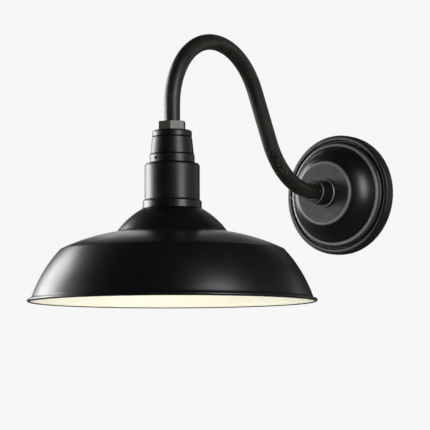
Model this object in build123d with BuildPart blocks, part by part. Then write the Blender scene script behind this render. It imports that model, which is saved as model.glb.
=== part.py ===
"""Gooseneck wall sconce, in millimetres.

The wall is the plane y = 0 and the light stands out from it towards -Y. +Z is up, the arm lies in
the plane x = 0, and the origin is on the wall, on the axis of the canopy and the hub.
"d" is a distance out from the wall, and the neck's levels are heights over the hub's axis.
"""

from build123d import *
from math import cos, radians, sin
import os

os.makedirs("parts", exist_ok=True)

# ---------------------------------------------------------------- driving dimensions

fit_gap = 0.05               # radial gap of pieces that are screwed or pushed together
free_gap = 0.3               # gap of pieces that stand beside each other or move

# arm: 3/8 inch iron pipe size
pipe_r = 8.55
pipe_bore_r = 6.25
arm_reach = 330.0            # wall to the shade's axis
leg_top = 72.0               # where the straight leg over the shade ends
crown_rise_radius = 76.7
crown_rise_angle = 83.4
crown_fall_radius = 84.8
crown_fall_angle = 68.8
bend_start_d = 67.2          # where the last bend runs out, straight in front of the hub
pipe_past_nut = 3.1          # pipe behind the hidden nut

# wall canopy, a thin casting
gasket_thick = 3.0
gasket_width = 6.0
gasket_inset = 0.3
canopy_r = 69.4
canopy_wall = 3.0
drum_depth = 12.6            # wall to the ridge
drum_round = 3.0
ridge_inset = 4.8            # from the canopy's outer side, as are the next two
bead_inset = 9.8
dome_foot_inset = 14.1
valley_depth = 11.2
bead_depth = 18.2
bead_round = 3.4
dome_foot_depth = 17.6
dome_bulge = 2.6
disc_r = 37.6
disc_round = 3.5
disc_depth = 41.3

# hub and its nuts
hub_ring_r = 16.9
hub_ring_thick = 2.6
hub_r = 13.6
hub_front_d = 60.8
hub_round = 1.6
nut_flats = 22.2             # across flats of the black and the hidden nuts
hub_nut_thick = 4.2
inner_nut_thick = 4.2
washer_r = 12.5
washer_thick = 1.0
nut_break = 0.8

# crossbar on the junction box
bar_width = 16.0
bar_thick = 2.0
bar_end_inset = 4.2          # from the canopy's outer side to the bar's end
bar_flat_half = 50.0
bar_step_run = 4.0
bar_step = 5.4
box_slot_spacing = 79.4
box_slot_length = 14.2
box_slot_width = 4.8
bar_centre_hole_r = 5.0
ground_screw_x = 20.0
ground_screw_r = 1.7
ground_head_r = 3.4
ground_head_thick = 2.6
lug_width = 10.0
lug_thick = 1.8
lug_reach = 5.0

# canopy screw
ball_r = 2.6
ball_flat = 2.0              # height of the ball's centre over its seat
canopy_screw_r = 1.95
canopy_screw_tip_d = 3.6

# neck, from its top down
cap_top = 45.5
locknut_flats = 26.5
locknut_thick = 9.3
cap_r = 20.9
cap_height = 7.3
cap_round = 2.6
cap_spigot_r = 16.6
cap_spigot_inner_r = 14.0
cap_spigot_length = 3.8
body_top_r = 21.1
body_foot_r = 23.0
body_height = 18.4
body_spigot_r = 18.9
body_spigot_length = 5.8
ring_r = 23.8
ring_height = 9.2
ring_break = 0.8
groove_break = 0.8
cup_spigot_r = 21.5
cup_spigot_length = 7.8
set_screw_r = 1.7
set_screw_recess = 1.2
set_screw_length = 3.0
set_screw_first = -9.7       # bearing of the first set screw, from -Y towards +X
set_screw_count = 3
hex_key_flats = 1.6
hex_key_depth = 0.9
cup_r = 29.1
cup_height = 38.4
cup_round = 3.4
cup_wall = 2.4
cup_plate = 3.5
cup_window_r = 14.0
cup_floor = 2.4
cup_tail_r = 26.0
cup_tail_inner_r = 23.6
cup_tail_length = 13.0
pipe_below_cap = 7.2         # pipe under the cap's web

# shade, spun from sheet
sheet = 1.2
seal_thick = 0.65
seal_r = 28.6
collar_r = 31.15
collar_round = 2.4
collar_height = 9.2          # from the shade's top to the foot of the collar
collar_foot_round = 1.4
collar_foot_bow = 0.2
dome_start_r = 31.9
dome_end_r = 58.7
dome_drop = 33.8             # from the shade's top, as are the next two
dome_bow = 2.0
brim_r = 117.9
brim_drop = 52.1
brim_bow = 2.4
skirt_r = 147.5
skirt_drop = 101.3
skirt_bow = 2.9
rim_r = 152.4
rim_bead_r = 1.8
rim_drop = 105.6             # to the bead's centre
crease_round = 3.0
shoulder_round = 3.5
clamp_ring_r = 28.7
clamp_ring_height = 5.2
clamp_notches = 6
clamp_notch_width = 4.0
clamp_notch_depth = 1.6

# lampholder, medium base
holder_flange_r = 23.2
holder_flange_thick = 4.4
holder_r = 17.3
holder_length = 40.5
holder_cavity_r = 14.0
holder_web = 11.0
holder_screw_radius = 20.7
holder_screw_r = 1.7
holder_screw_grip = 3.0      # thread in the cup's plate and spigot
holder_head_r = 2.8
holder_head_thick = 2.4
shell_r = 13.4
shell_wall = 0.45
shell_length = 23.5
shell_lip_r = 7.5
contact_r = 3.5
contact_thick = 0.6
contact_stem_r = 1.6
contact_button_r = 2.2
contact_button = 2.1         # height of the sprung button under the disc
terminal_offset = 8.0
terminal_head_r = 2.8
terminal_head_thick = 2.0
terminal_shank_r = 1.6
terminal_shank_length = 6.0

# wiring
lead_r = 1.1
lead_spacing = 2.8
lead_bend = 8.0
bushing_flange_r = 8.3
bushing_flange_thick = 1.2
bushing_plug_length = 4.0
bushing_bore_r = 4.9
tail_bend_d = 28.0           # where the line and neutral turn off, behind the pipe's end
terminal_rise = 18.0         # height over which a lead swings from its terminal into the arm
connector_start = 22.0       # mouth of a connector over the arm's axis
connector_mouth_r = 6.2
connector_tip_r = 4.2
connector_length = 20.0
connector_cavity = 14.0
connector_grip = 11.0        # lead inside a connector
ground_turn = 6.75           # radius of the U-turn under the eyelet
ground_tail_d = 20.0
ground_tail_bend = 7.0
ground_drop = 8.0            # straight lead under the eyelet
eyelet_r = 12.0
eyelet_thick = 1.0
eyelet_barrel_r = 1.9
eyelet_barrel_length = 6.0
eyelet_grip = 4.0            # lead inside the eyelet's barrel
eyelet_neck = 3.0            # width of the eyelet's tongue

# lamp
lamp_length = 108.5
lamp_r = 30.0
lamp_glass = 0.7
lamp_neck_r = 14.6
lamp_neck_drop = 33.0        # from the foot contact to the neck
lamp_shoulder_angle = 33.0   # where the bowl passes into the neck, over its widest place
lamp_base_r = 13.05
lamp_base_wall = 0.4
lamp_base_top = 4.6          # from the foot contact to the threaded shell
lamp_base_length = 21.6
lamp_base_lip_r = 9.0
lamp_base_break = 1.0
insulator_depth = 8.0        # from the foot contact to the insulator's inner face
foot_r = 4.5
foot_height = 1.7
foot_edge = 0.8
insulator_foot_r = 5.0
stem_r = 3.2
stem_start = 12.0            # from the foot contact to the stem's flare
stem_flare_length = 10.0
stem_length = 34.0
wire_r = 0.4
wire_base = 1.8
wire_spread = 9.0
wire_straight = 4.0
wire_length = 14.0
wire_round = 1.2

# ---------------------------------------------------------------- levels and datums

canopy_back_d = gasket_thick
ridge_r = canopy_r - ridge_inset
bead_r = canopy_r - bead_inset
dome_foot_r = canopy_r - dome_foot_inset
valley_r = (ridge_r + bead_r) / 2
canopy_screw_x = valley_r
bar_half_length = canopy_r - bar_end_inset
canopy_face_inner_d = disc_depth - canopy_wall
cap_foot = cap_top - cap_height
body_foot = cap_foot - body_height
ring_foot = body_foot - ring_height
cup_top = ring_foot
cup_foot = cup_top - cup_height
shade_top = cup_foot - seal_thick
pipe_foot = cap_foot - pipe_below_cap
pipe_tail_d = canopy_face_inner_d - washer_thick - inner_nut_thick - pipe_past_nut
holder_top = cup_top - cup_plate
web_foot = holder_top - holder_web
foot_contact = web_foot - contact_thick - contact_button - free_gap
lamp_tip = foot_contact - lamp_length
rim_z = shade_top - rim_drop
set_screw_z = ring_foot + ring_height / 2
eyelet_top = cap_foot - inner_nut_thick
eyelet_offset = 2 * ground_turn
barrel_foot = eyelet_top - eyelet_thick - eyelet_barrel_length
terminal_top = holder_top + terminal_head_thick
pipe_hole_r = pipe_r + fit_gap
shade_hole_r = cup_tail_r + free_gap

level = Plane((0, -arm_reach, 0), x_dir=(1, 0, 0), z_dir=(0, 0, 1))   # levels on the shade's axis
section = Plane.XZ.offset(arm_reach)                       # radius and height of turned neck pieces
neck_axis = Axis((0, -arm_reach, 0), (0, 0, 1))
wall_section = Plane((0, 0, 0), x_dir=(1, 0, 0), z_dir=(0, 0, -1))   # radius and distance d
hub_axis = Axis((0, 0, 0), (0, -1, 0))


def finish(builder, name):
    """Label a finished piece and write it out."""
    builder.part.label = name
    export_step(builder.part, f"parts/{name}.step")


def tube(plane, inner_r, outer_r, height):
    """Plain ring standing on a plane."""
    with BuildSketch(plane) as ring:
        Circle(outer_r)
        Circle(inner_r, mode=Mode.SUBTRACT)
    extrude(ring.sketch, amount=height)


def turn(axis, plane, *points, mode=Mode.ADD):
    """Turn a closed outline of radii and heights, drawn on its section plane, about an axis."""
    with BuildSketch(plane) as outline:
        with BuildLine():
            Polyline(*points, close=True)
        make_face()
    revolve(outline.sketch, axis=axis, mode=mode)


def hex_nut(plane, flats, thick):
    """Hexagon nut for the pipe standing on a plane, its corners turned off at both ends."""
    with BuildSketch(plane) as hexagon:
        RegularPolygon(flats / 2, 6, major_radius=False)
        Circle(pipe_hole_r, mode=Mode.SUBTRACT)
    extrude(hexagon.sketch, amount=thick)
    corner_r = flats / 2 / cos(radians(30))
    turn(
        Axis(plane.origin, plane.z_dir),
        Plane(plane.origin, x_dir=plane.x_dir, z_dir=plane.x_dir.cross(plane.z_dir)),
        (0, 0),
        (corner_r - nut_break, 0),
        (corner_r, nut_break / 2),
        (corner_r, thick - nut_break / 2),
        (corner_r - nut_break, thick),
        (0, thick),
        mode=Mode.INTERSECT,
    )


def radial(bearing, radius, height):
    """Plane that looks out from the shade's axis, the bearing counted from -Y towards +X."""
    out = Vector(sin(radians(bearing)), -cos(radians(bearing)), 0)
    return Plane(Vector(0, -arm_reach, height) + out * radius, z_dir=out)


def nearest_edge(edges, point):
    """The one of several edges that passes nearest to a point."""
    return edges.sort_by_distance(Vector(*point))[0]


# ---------------------------------------------------------------- wall side

with BuildPart() as wall_gasket:
    gasket_r = canopy_r - gasket_inset
    tube(Plane.XZ, gasket_r - gasket_width, gasket_r, gasket_thick)
finish(wall_gasket, "wall_gasket")

# the canopy's outline runs from its back edge over drum, ridge, valley, bead and dome to the disc
with BuildPart() as wall_canopy:
    drum_inner_r = canopy_r - canopy_wall
    bead_inner_r = bead_r - canopy_wall
    shelf_d = valley_depth - canopy_wall
    with BuildSketch(wall_section):
        with BuildLine():
            side = Line((canopy_r, canopy_back_d), (canopy_r, drum_depth - drum_round))
            shoulder = JernArc(side @ 1, side % 1, drum_round, 90)
            crest = Line(shoulder @ 1, (ridge_r, drum_depth))
            valley = ThreePointArc(crest @ 1, (valley_r, valley_depth), (bead_r, drum_depth))
            wall = Line(valley @ 1, (bead_r, bead_depth - bead_round))
            bead = JernArc(wall @ 1, wall % 1, bead_round, 90)
            lip = Line(bead @ 1, (dome_foot_r + bead_depth - dome_foot_depth, bead_depth))
            crease = Line(lip @ 1, (dome_foot_r, dome_foot_depth))
            dome = SagittaArc(crease @ 1, (disc_r, disc_depth - disc_round), -dome_bulge)
            edge = JernArc(dome @ 1, (0, 1), disc_round, 90)
            face = Line(edge @ 1, (pipe_hole_r, disc_depth))
            bore = Line(face @ 1, (pipe_hole_r, canopy_face_inner_d))
            inner_face = Line(bore @ 1, (disc_r - canopy_wall, canopy_face_inner_d))
            inner_dome = SagittaArc(inner_face @ 1, (bead_inner_r, bead_depth - 2 * canopy_wall), dome_bulge)
            inner_wall = Line(inner_dome @ 1, (bead_inner_r, shelf_d))
            inner_shelf = Line(inner_wall @ 1, (drum_inner_r, shelf_d))
            inner_side = Line(inner_shelf @ 1, (drum_inner_r, canopy_back_d))
            Line(inner_side @ 1, side @ 0)
        make_face()
    revolve(axis=hub_axis)
    # seat and hole of the canopy screw
    with BuildSketch(Plane.XZ.offset(valley_depth)):
        with Locations((-canopy_screw_x, 0)):
            Circle(ball_r + fit_gap)
    extrude(amount=bead_depth - valley_depth, mode=Mode.SUBTRACT)
    with BuildSketch(Plane.XZ):
        with Locations((-canopy_screw_x, 0)):
            Circle(canopy_screw_r + free_gap)
    extrude(amount=drum_depth, mode=Mode.SUBTRACT)
    # lug that hooks behind the crossbar's right end
    with BuildSketch(Plane.XZ.offset(bar_step - free_gap - lug_thick)):
        with Locations((canopy_r - canopy_wall / 2, 0)):
            Rectangle(lug_reach + canopy_wall / 2, lug_width, align=(Align.MAX, Align.CENTER))
    extrude(amount=lug_thick)
finish(wall_canopy, "wall_canopy")

with BuildPart() as crossbar:
    with BuildSketch(Plane.XY):
        with BuildLine():
            near_side = FilletPolyline(
                (-bar_half_length, -bar_step),
                (-bar_flat_half - bar_step_run, -bar_step),
                (-bar_flat_half, 0),
                (bar_flat_half, 0),
                (bar_flat_half + bar_step_run, -bar_step),
                (bar_half_length, -bar_step),
                radius=bar_thick / 4,
            )
            far_side = FilletPolyline(
                (bar_half_length, -bar_step - bar_thick),
                (bar_flat_half + bar_step_run - bar_thick / 2, -bar_step - bar_thick),
                (bar_flat_half - bar_thick / 2, -bar_thick),
                (-bar_flat_half + bar_thick / 2, -bar_thick),
                (-bar_flat_half - bar_step_run + bar_thick / 2, -bar_step - bar_thick),
                (-bar_half_length, -bar_step - bar_thick),
                radius=bar_thick / 4,
            )
            Line(near_side @ 1, far_side @ 0)
            Line(far_side @ 1, near_side @ 0)
        make_face()
    extrude(amount=bar_width / 2, both=True)
    with BuildSketch(Plane.XZ):
        Circle(bar_centre_hole_r)
        with GridLocations(box_slot_spacing, 0, 2, 1):
            SlotOverall(box_slot_length, box_slot_width)
        with Locations((ground_screw_x, 0)):
            Circle(ground_screw_r + fit_gap)
        with Locations((-canopy_screw_x, 0)):
            Circle(canopy_screw_r + fit_gap)
    extrude(amount=drum_depth, mode=Mode.SUBTRACT)
finish(crossbar, "crossbar")

with BuildPart() as crossbar_ground_screw:
    with BuildSketch(Plane.XZ.offset(bar_thick)):
        with Locations((ground_screw_x, 0)):
            RegularPolygon(ground_head_r, 6)
    extrude(amount=ground_head_thick)
    with BuildSketch(Plane.XZ.offset(free_gap)):
        with Locations((ground_screw_x, 0)):
            Circle(ground_screw_r)
    extrude(amount=bar_thick)
finish(crossbar_ground_screw, "crossbar_ground_screw")

with BuildPart() as canopy_screw:
    ball_d = valley_depth + ball_flat
    with BuildSketch(Plane((-canopy_screw_x, 0, 0), x_dir=(1, 0, 0), z_dir=(0, 0, -1))):
        with Locations((0, ball_d)):
            Circle(ball_r)
        with Locations((0, valley_depth)):
            Rectangle(2 * ball_r, 2 * ball_r, align=(Align.CENTER, Align.MAX), mode=Mode.SUBTRACT)
        with Locations((0, canopy_screw_tip_d)):
            Rectangle(canopy_screw_r, ball_d - canopy_screw_tip_d, align=(Align.MIN, Align.MIN))
        with Locations((0, ball_d)):
            Rectangle(2 * ball_r, 2 * ball_r, align=(Align.MAX, Align.CENTER), mode=Mode.SUBTRACT)
    revolve(axis=Axis((-canopy_screw_x, 0, 0), (0, -1, 0)))
finish(canopy_screw, "canopy_screw")

with BuildPart() as arm_hub:
    turn(
        hub_axis,
        wall_section,
        (pipe_hole_r, disc_depth),
        (hub_ring_r, disc_depth),
        (hub_ring_r, disc_depth + hub_ring_thick - groove_break),
        (hub_ring_r - groove_break, disc_depth + hub_ring_thick),
        (hub_r, disc_depth + hub_ring_thick),
        (hub_r, hub_front_d),
        (pipe_hole_r, hub_front_d),
    )
    round_edges = arm_hub.edges().filter_by(GeomType.CIRCLE)
    fillet(nearest_edge(round_edges, (hub_r, -hub_front_d, 0)), hub_round)
finish(arm_hub, "arm_hub")

with BuildPart() as hub_locknut:
    hex_nut(Plane.XZ.offset(hub_front_d), nut_flats, hub_nut_thick)
finish(hub_locknut, "hub_locknut")

with BuildPart() as hub_lock_washer:
    tube(Plane.XZ.offset(canopy_face_inner_d - washer_thick), pipe_hole_r, washer_r, washer_thick)
finish(hub_lock_washer, "hub_lock_washer")

with BuildPart() as hub_inner_nut:
    nut_d = canopy_face_inner_d - washer_thick - inner_nut_thick
    hex_nut(Plane.XZ.offset(nut_d), nut_flats, inner_nut_thick)
finish(hub_inner_nut, "hub_inner_nut")

# ---------------------------------------------------------------- arm

# The crown turns through both its angles, the straight leans down at what is left of them, and the
# last bend brings it level. The straight's length and the last bend's radius close the arm between
# the leg over the shade and the hub: one sum along Y and one along Z give both.
rise = radians(crown_rise_angle)
turned = radians(crown_rise_angle + crown_fall_angle)
lean = turned - radians(90)
crown_y = crown_rise_radius * (1 - cos(rise)) + crown_fall_radius * (cos(rise) - cos(turned))
crown_z = crown_rise_radius * sin(rise) + crown_fall_radius * (sin(turned) - sin(rise))
run_y = arm_reach - bend_start_d - crown_y
run_z = leg_top + crown_z
level_share = 1 - cos(lean)
straight_length = (run_z * sin(lean) - run_y * level_share) / (sin(lean) ** 2 - cos(lean) * level_share)
last_bend_radius = (run_y - straight_length * cos(lean)) / sin(lean)


def arm_route(start_z, end_d):
    """Draw the arm's line on the open line plane, from a level in the neck to a distance d."""
    leg = Line((-arm_reach, start_z), (-arm_reach, leg_top))
    crown_rise = JernArc(leg @ 1, leg % 1, crown_rise_radius, -crown_rise_angle)
    crown_fall = JernArc(crown_rise @ 1, crown_rise % 1, crown_fall_radius, -crown_fall_angle)
    straight = Line(crown_fall @ 1, crown_fall @ 1 + (crown_fall % 1) * straight_length)
    last_bend = JernArc(straight @ 1, straight % 1, last_bend_radius, crown_rise_angle + crown_fall_angle - 90)
    Line(last_bend @ 1, (-end_d, 0))


with BuildPart() as gooseneck_arm:
    with BuildLine(Plane.YZ):
        arm_route(pipe_foot, pipe_tail_d)
    with BuildSketch(level.offset(pipe_foot)):
        Circle(pipe_r)
        Circle(pipe_bore_r, mode=Mode.SUBTRACT)
    sweep()
finish(gooseneck_arm, "gooseneck_arm")

with BuildPart() as arm_bushings:
    for end_plane in (level.offset(pipe_foot), Plane.XZ.offset(pipe_tail_d)):
        tube(end_plane, bushing_bore_r, pipe_bore_r - fit_gap, bushing_plug_length)
        tube(end_plane, bushing_bore_r, bushing_flange_r, -bushing_flange_thick)
finish(arm_bushings, "arm_bushings")

# ---------------------------------------------------------------- neck

with BuildPart() as neck_locknut:
    hex_nut(level.offset(cap_top), locknut_flats, locknut_thick)
finish(neck_locknut, "neck_locknut")

with BuildPart() as neck_cap:
    turn(
        neck_axis,
        section,
        (pipe_hole_r, cap_top),
        (cap_r, cap_top),
        (cap_r, cap_foot + groove_break),
        (cap_r - groove_break, cap_foot),
        (cap_spigot_r, cap_foot),
        (cap_spigot_r, cap_foot - cap_spigot_length),
        (cap_spigot_inner_r, cap_foot - cap_spigot_length),
        (cap_spigot_inner_r, cap_foot),
        (pipe_hole_r, cap_foot),
    )
    round_edges = neck_cap.edges().filter_by(GeomType.CIRCLE)
    fillet(nearest_edge(round_edges, (cap_r, -arm_reach, cap_top)), cap_round)
finish(neck_cap, "neck_cap")

with BuildPart() as neck_inner_nut:
    hex_nut(level.offset(eyelet_top), nut_flats, inner_nut_thick)
finish(neck_inner_nut, "neck_inner_nut")

with BuildPart() as ground_terminal:
    with BuildSketch(level.offset(eyelet_top - eyelet_thick)):
        Circle(eyelet_r)
        with Locations((0, eyelet_r)):
            Rectangle(eyelet_neck, 2 * (eyelet_offset - eyelet_r))
        with Locations((0, eyelet_offset)):
            Circle(eyelet_barrel_r)
        Circle(pipe_hole_r, mode=Mode.SUBTRACT)
    extrude(amount=eyelet_thick)
    with BuildSketch(level.offset(barrel_foot)):
        with Locations((0, eyelet_offset)):
            Circle(eyelet_barrel_r)
            Circle(lead_r + fit_gap, mode=Mode.SUBTRACT)
    extrude(amount=eyelet_barrel_length)
finish(ground_terminal, "ground_terminal")

with BuildPart() as neck_body:
    turn(
        neck_axis,
        section,
        (cap_spigot_r + fit_gap, cap_foot),
        (body_top_r - groove_break, cap_foot),
        (body_top_r, cap_foot - groove_break),
        (body_foot_r, body_foot + groove_break),
        (body_foot_r - groove_break, body_foot),
        (body_spigot_r, body_foot),
        (body_spigot_r, body_foot - body_spigot_length),
        (cap_spigot_r + fit_gap, body_foot - body_spigot_length),
    )
finish(neck_body, "neck_body")

with BuildPart() as lock_ring:
    ring_bore_r = cup_spigot_r + fit_gap
    turn(
        neck_axis,
        section,
        (ring_bore_r, ring_foot),
        (ring_r - ring_break, ring_foot),
        (ring_r, ring_foot + ring_break),
        (ring_r, body_foot - ring_break),
        (ring_r - ring_break, body_foot),
        (ring_bore_r, body_foot),
    )
    for screw in range(set_screw_count):
        with BuildSketch(radial(set_screw_first + screw * 360 / set_screw_count, body_spigot_r, set_screw_z)):
            Circle(set_screw_r + fit_gap)
        extrude(amount=ring_r, mode=Mode.SUBTRACT)
finish(lock_ring, "lock_ring")

with BuildPart() as set_screws:
    screw_outer_r = ring_r - set_screw_recess
    for screw in range(set_screw_count):
        bearing = set_screw_first + screw * 360 / set_screw_count
        with BuildSketch(radial(bearing, screw_outer_r - set_screw_length, set_screw_z)):
            Circle(set_screw_r)
        extrude(amount=set_screw_length)
        with BuildSketch(radial(bearing, screw_outer_r, set_screw_z)):
            RegularPolygon(hex_key_flats / 2, 6, major_radius=False)
        extrude(amount=-hex_key_depth, mode=Mode.SUBTRACT)
finish(set_screws, "set_screws")

with BuildPart() as socket_cup:
    spigot_bore_r = body_spigot_r + fit_gap
    cup_inner_r = cup_r - cup_wall
    turn(
        neck_axis,
        section,
        (spigot_bore_r, cup_top + cup_spigot_length),
        (cup_spigot_r, cup_top + cup_spigot_length),
        (cup_spigot_r, cup_top),
        (cup_r, cup_top),
        (cup_r, cup_foot),
        (cup_tail_r, cup_foot),
        (cup_tail_r, cup_foot - cup_tail_length),
        (cup_tail_inner_r, cup_foot - cup_tail_length),
        (cup_tail_inner_r, cup_foot + cup_floor),
        (cup_inner_r, cup_foot + cup_floor),
        (cup_inner_r, holder_top),
        (cup_window_r, holder_top),
        (cup_window_r, cup_top),
        (spigot_bore_r, cup_top),
    )
    round_edges = socket_cup.edges().filter_by(GeomType.CIRCLE)
    fillet(nearest_edge(round_edges, (cup_r, -arm_reach, cup_top)), cup_round)
    # seats of the set screws in the spigot, then the lampholder screws' threaded holes
    seat_r = ring_r - set_screw_recess - set_screw_length
    for screw in range(set_screw_count):
        with BuildSketch(radial(set_screw_first + screw * 360 / set_screw_count, seat_r, set_screw_z)):
            Circle(set_screw_r + fit_gap)
        extrude(amount=ring_r, mode=Mode.SUBTRACT)
    with BuildSketch(level.offset(holder_top)):
        with GridLocations(2 * holder_screw_radius, 0, 2, 1):
            Circle(holder_screw_r + fit_gap)
    extrude(amount=holder_screw_grip + free_gap, mode=Mode.SUBTRACT)
finish(socket_cup, "socket_cup")

# ---------------------------------------------------------------- shade

with BuildPart() as shade_gasket:
    tube(level.offset(shade_top), shade_hole_r, seal_r, seal_thick)
finish(shade_gasket, "shade_gasket")

# outer side of the sheet from the hole over the collar, the two domes and the skirt into the rim
with BuildPart() as shade:
    rim_centre_r = rim_r - rim_bead_r
    with BuildSketch(section):
        with BuildLine() as outer_side:
            flange = Line((shade_hole_r, shade_top), (collar_r - collar_round, shade_top))
            shoulder = JernArc(flange @ 1, flange % 1, collar_round, -90)
            collar = Line(shoulder @ 1, (collar_r, shade_top - collar_height + collar_foot_round))
            collar_foot = SagittaArc(collar @ 1, (dome_start_r, shade_top - collar_height), -collar_foot_bow)
            upper_dome = SagittaArc(collar_foot @ 1, (dome_end_r, shade_top - dome_drop), dome_bow)
            brim = SagittaArc(upper_dome @ 1, (brim_r, shade_top - brim_drop), brim_bow)
            skirt = SagittaArc(brim @ 1, (skirt_r, shade_top - skirt_drop), skirt_bow)
            TangentArc(
                skirt @ 1,
                (rim_centre_r - rim_bead_r / 3, rim_z + rim_bead_r / 2),
                tangent=skirt % 1,
            )
            fillet(outer_side.vertices().sort_by_distance(upper_dome @ 1)[0], crease_round)
            fillet(outer_side.vertices().sort_by_distance(brim @ 1)[0], shoulder_round)
            offset(amount=sheet, side=Side.RIGHT, closed=True)
        make_face()
        with Locations((rim_centre_r, rim_z)):
            Circle(rim_bead_r)
    revolve(axis=neck_axis)
finish(shade, "shade")

with BuildPart() as shade_retaining_ring:
    with BuildSketch(level.offset(shade_top - sheet)):
        Circle(clamp_ring_r)
        Circle(cup_tail_r + fit_gap, mode=Mode.SUBTRACT)
    extrude(amount=-clamp_ring_height)
    with BuildSketch(level.offset(shade_top - sheet - clamp_ring_height)):
        with PolarLocations(clamp_ring_r, clamp_notches):
            Rectangle(2 * clamp_notch_depth, clamp_notch_width)
    extrude(amount=clamp_ring_height, mode=Mode.SUBTRACT)
finish(shade_retaining_ring, "shade_retaining_ring")

# ---------------------------------------------------------------- lampholder

with BuildPart() as lampholder_body:
    turn(
        neck_axis,
        section,
        (0, holder_top),
        (holder_flange_r, holder_top),
        (holder_flange_r, holder_top - holder_flange_thick),
        (holder_r, holder_top - holder_flange_thick),
        (holder_r, holder_top - holder_length),
        (holder_cavity_r, holder_top - holder_length),
        (holder_cavity_r, web_foot),
        (0, web_foot),
    )
    with BuildSketch(level.offset(holder_top)):
        Circle(contact_stem_r + fit_gap)
        with GridLocations(2 * holder_screw_radius, 0, 2, 1):
            Circle(holder_screw_r + free_gap)
    extrude(amount=-holder_length, mode=Mode.SUBTRACT)
    with BuildSketch(level.offset(holder_top)):
        with Locations((-lead_spacing, -terminal_offset), (lead_spacing, terminal_offset)):
            Circle(terminal_shank_r + fit_gap)
    extrude(amount=-terminal_shank_length - free_gap, mode=Mode.SUBTRACT)
finish(lampholder_body, "lampholder_body")

with BuildPart() as lampholder_screws:
    flange_foot = holder_top - holder_flange_thick
    with BuildSketch(level.offset(flange_foot - holder_head_thick)):
        with GridLocations(2 * holder_screw_radius, 0, 2, 1):
            Circle(holder_head_r)
    extrude(amount=holder_head_thick)
    with BuildSketch(level.offset(flange_foot)):
        with GridLocations(2 * holder_screw_radius, 0, 2, 1):
            Circle(holder_screw_r)
    extrude(amount=holder_flange_thick + holder_screw_grip)
finish(lampholder_screws, "lampholder_screws")

with BuildPart() as screw_shell:
    turn(
        neck_axis,
        section,
        (shell_lip_r, web_foot),
        (shell_r + shell_wall, web_foot),
        (shell_r + shell_wall, web_foot - shell_length),
        (shell_r, web_foot - shell_length),
        (shell_r, web_foot - shell_wall),
        (shell_lip_r, web_foot - shell_wall),
    )
finish(screw_shell, "screw_shell")

with BuildPart() as centre_contact:
    turn(
        neck_axis,
        section,
        (0, holder_top),
        (contact_stem_r, holder_top),
        (contact_stem_r, web_foot),
        (contact_r, web_foot),
        (contact_r, web_foot - contact_thick),
        (contact_button_r, web_foot - contact_thick),
        (contact_button_r, web_foot - contact_thick - contact_button),
        (0, web_foot - contact_thick - contact_button),
    )
finish(centre_contact, "centre_contact")

with BuildPart() as terminal_screws:
    with BuildSketch(level.offset(holder_top)):
        with Locations((-lead_spacing, -terminal_offset), (lead_spacing, terminal_offset)):
            Circle(terminal_head_r)
    extrude(amount=terminal_head_thick)
    with BuildSketch(level.offset(holder_top)):
        with Locations((-lead_spacing, -terminal_offset), (lead_spacing, terminal_offset)):
            Circle(terminal_shank_r)
    extrude(amount=-terminal_shank_length)
finish(terminal_screws, "terminal_screws")

# ---------------------------------------------------------------- wiring, inside the arm all the way

connector_d = tail_bend_d - lead_bend

with BuildPart() as line_lead:
    with BuildLine(Plane.YZ.offset(-lead_spacing)):
        Spline(
            (-arm_reach - terminal_offset, terminal_top),
            (-arm_reach, terminal_top + terminal_rise),
            tangents=(Vector(0, 0, 1), Vector(0, 0, 1)),
        )
        arm_route(terminal_top + terminal_rise, tail_bend_d)
        bend = JernArc((-tail_bend_d, 0), (1, 0), lead_bend, 90)
        Line(bend @ 1, (-connector_d, connector_start + connector_grip))
    with BuildSketch(level.offset(terminal_top)):
        with Locations((-lead_spacing, -terminal_offset)):
            Circle(lead_r)
    sweep()
finish(line_lead, "line_lead")

with BuildPart() as neutral_lead:
    with BuildLine(Plane.YZ.offset(lead_spacing)):
        Spline(
            (-arm_reach + terminal_offset, terminal_top),
            (-arm_reach, terminal_top + terminal_rise),
            tangents=(Vector(0, 0, 1), Vector(0, 0, 1)),
        )
        arm_route(terminal_top + terminal_rise, tail_bend_d)
        bend = JernArc((-tail_bend_d, 0), (1, 0), lead_bend, -90)
        Line(bend @ 1, (-connector_d, -connector_start - connector_grip))
    with BuildSketch(level.offset(terminal_top)):
        with Locations((lead_spacing, terminal_offset)):
            Circle(lead_r)
    sweep()
finish(neutral_lead, "neutral_lead")

with BuildPart() as ground_lead:
    turn_z = barrel_foot - ground_drop
    with BuildLine(Plane.YZ):
        drop = Line((eyelet_offset - arm_reach, barrel_foot + eyelet_grip), (eyelet_offset - arm_reach, turn_z))
        JernArc(drop @ 1, drop % 1, ground_turn, -180)
        arm_route(turn_z, ground_tail_d)
    with BuildLine(Plane.XY):
        off = JernArc((0, -ground_tail_d), (0, 1), ground_tail_bend, -90)
        across = Line(off @ 1, (ground_screw_x - ground_tail_bend, ground_tail_bend - ground_tail_d))
        down = JernArc(across @ 1, across % 1, ground_tail_bend, 90)
        Line(down @ 1, (ground_screw_x, -bar_thick - ground_head_thick))
    with BuildSketch(level.offset(barrel_foot + eyelet_grip)):
        with Locations((0, eyelet_offset)):
            Circle(lead_r)
    sweep()
finish(ground_lead, "ground_lead")

with BuildPart() as wire_connectors:
    for way, beside in ((1, -lead_spacing), (-1, lead_spacing)):
        mouth = Plane((beside, -connector_d, way * connector_start), x_dir=(1, 0, 0), z_dir=(0, 0, way))
        turn(
            Axis(mouth.origin, mouth.z_dir),
            Plane(mouth.origin, x_dir=mouth.x_dir, z_dir=mouth.x_dir.cross(mouth.z_dir)),
            (lead_r + fit_gap, 0),
            (connector_mouth_r, 0),
            (connector_tip_r, connector_length),
            (0, connector_length),
            (0, connector_cavity),
            (lead_r + fit_gap, connector_cavity),
        )
finish(wire_connectors, "wire_connectors")

# ---------------------------------------------------------------- lamp

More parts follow.
